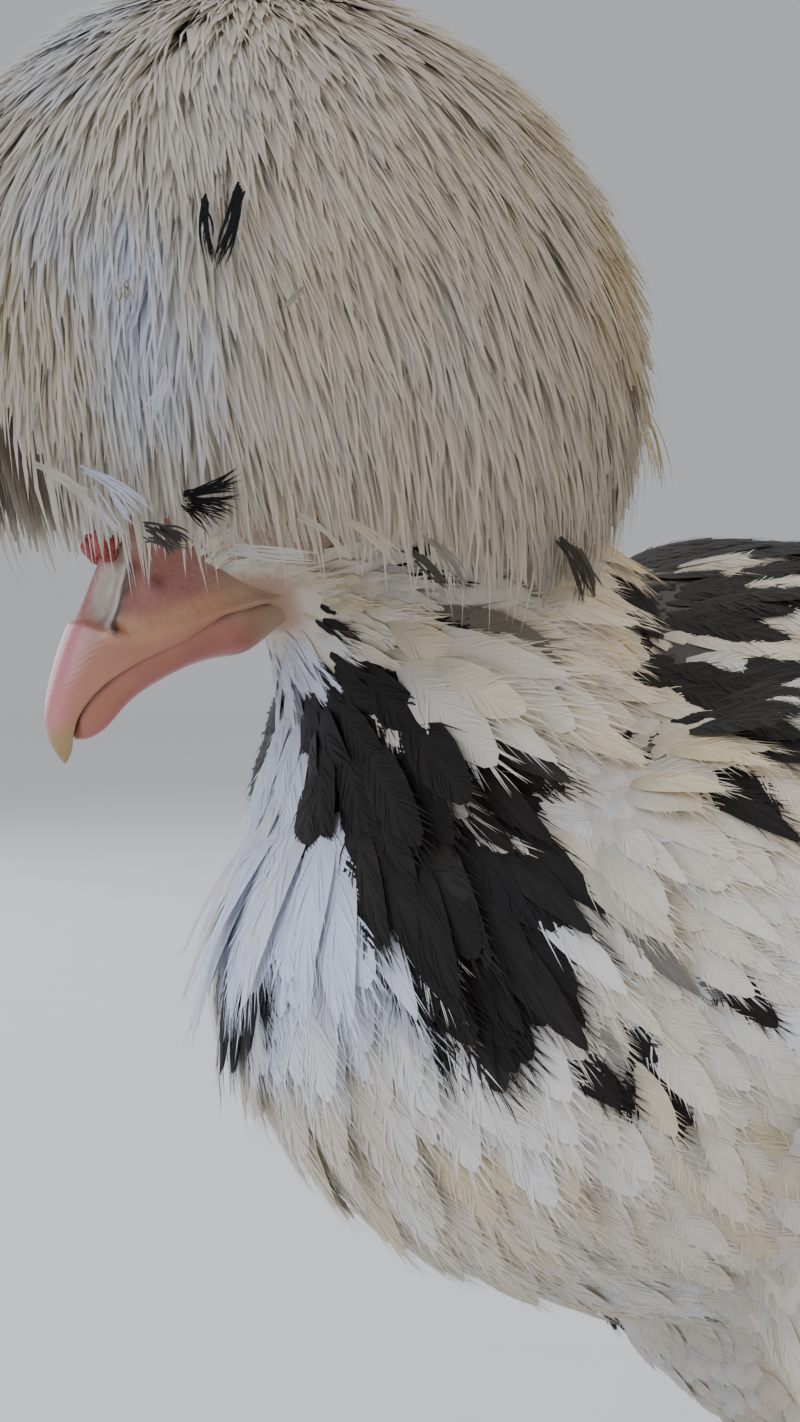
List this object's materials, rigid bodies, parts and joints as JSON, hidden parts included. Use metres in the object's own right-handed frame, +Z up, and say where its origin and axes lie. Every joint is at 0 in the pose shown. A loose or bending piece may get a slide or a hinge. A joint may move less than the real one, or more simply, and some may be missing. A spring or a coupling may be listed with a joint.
{
  "type": "polish crested chicken",
  "caption": "Young Polish crested chicken, cream white with black patches, a full globe crest and a lowered pinkish bill, standing on both feet.",
  "frame": {"origin": "on the floor, under the middle of the bird's box", "axes": "+Z up; the bird faces -Y, with its tail towards +Y; its left side is +X"},
  "size_m": [0.083, 0.1814, 0.187],
  "materials": {
    "plumage": "matte",
    "skin": "matte",
    "bill": "satin",
    "comb": "satin",
    "eye": "gloss",
    "leg_scales": "satin",
    "claw": "satin"
  },
  "bodies": {
    "root": {"bill_upper": "bill", "bill_lower": "bill", "comb": "comb", "head": "plumage", "neck": "plumage", "torso": "plumage", "crest": "plumage", "tail": "plumage", "eye_left": "eye", "ear_lobe_left": "skin", "wing_left": "plumage", "thigh_left": "plumage", "shank_left": "leg_scales", "toe_inner_left": "leg_scales", "claw_inner_left": "claw", "toe_middle_left": "leg_scales", "claw_middle_left": "claw", "toe_outer_left": "leg_scales", "claw_outer_left": "claw", "toe_hind_left": "leg_scales", "claw_hind_left": "claw", "eye_right": "eye", "ear_lobe_right": "skin", "wing_right": "plumage", "thigh_right": "plumage", "shank_right": "leg_scales", "toe_inner_right": "leg_scales", "claw_inner_right": "claw", "toe_middle_right": "leg_scales", "claw_middle_right": "claw", "toe_outer_right": "leg_scales", "claw_outer_right": "claw", "toe_hind_right": "leg_scales", "claw_hind_right": "claw"}
  },
  "joints": []
}
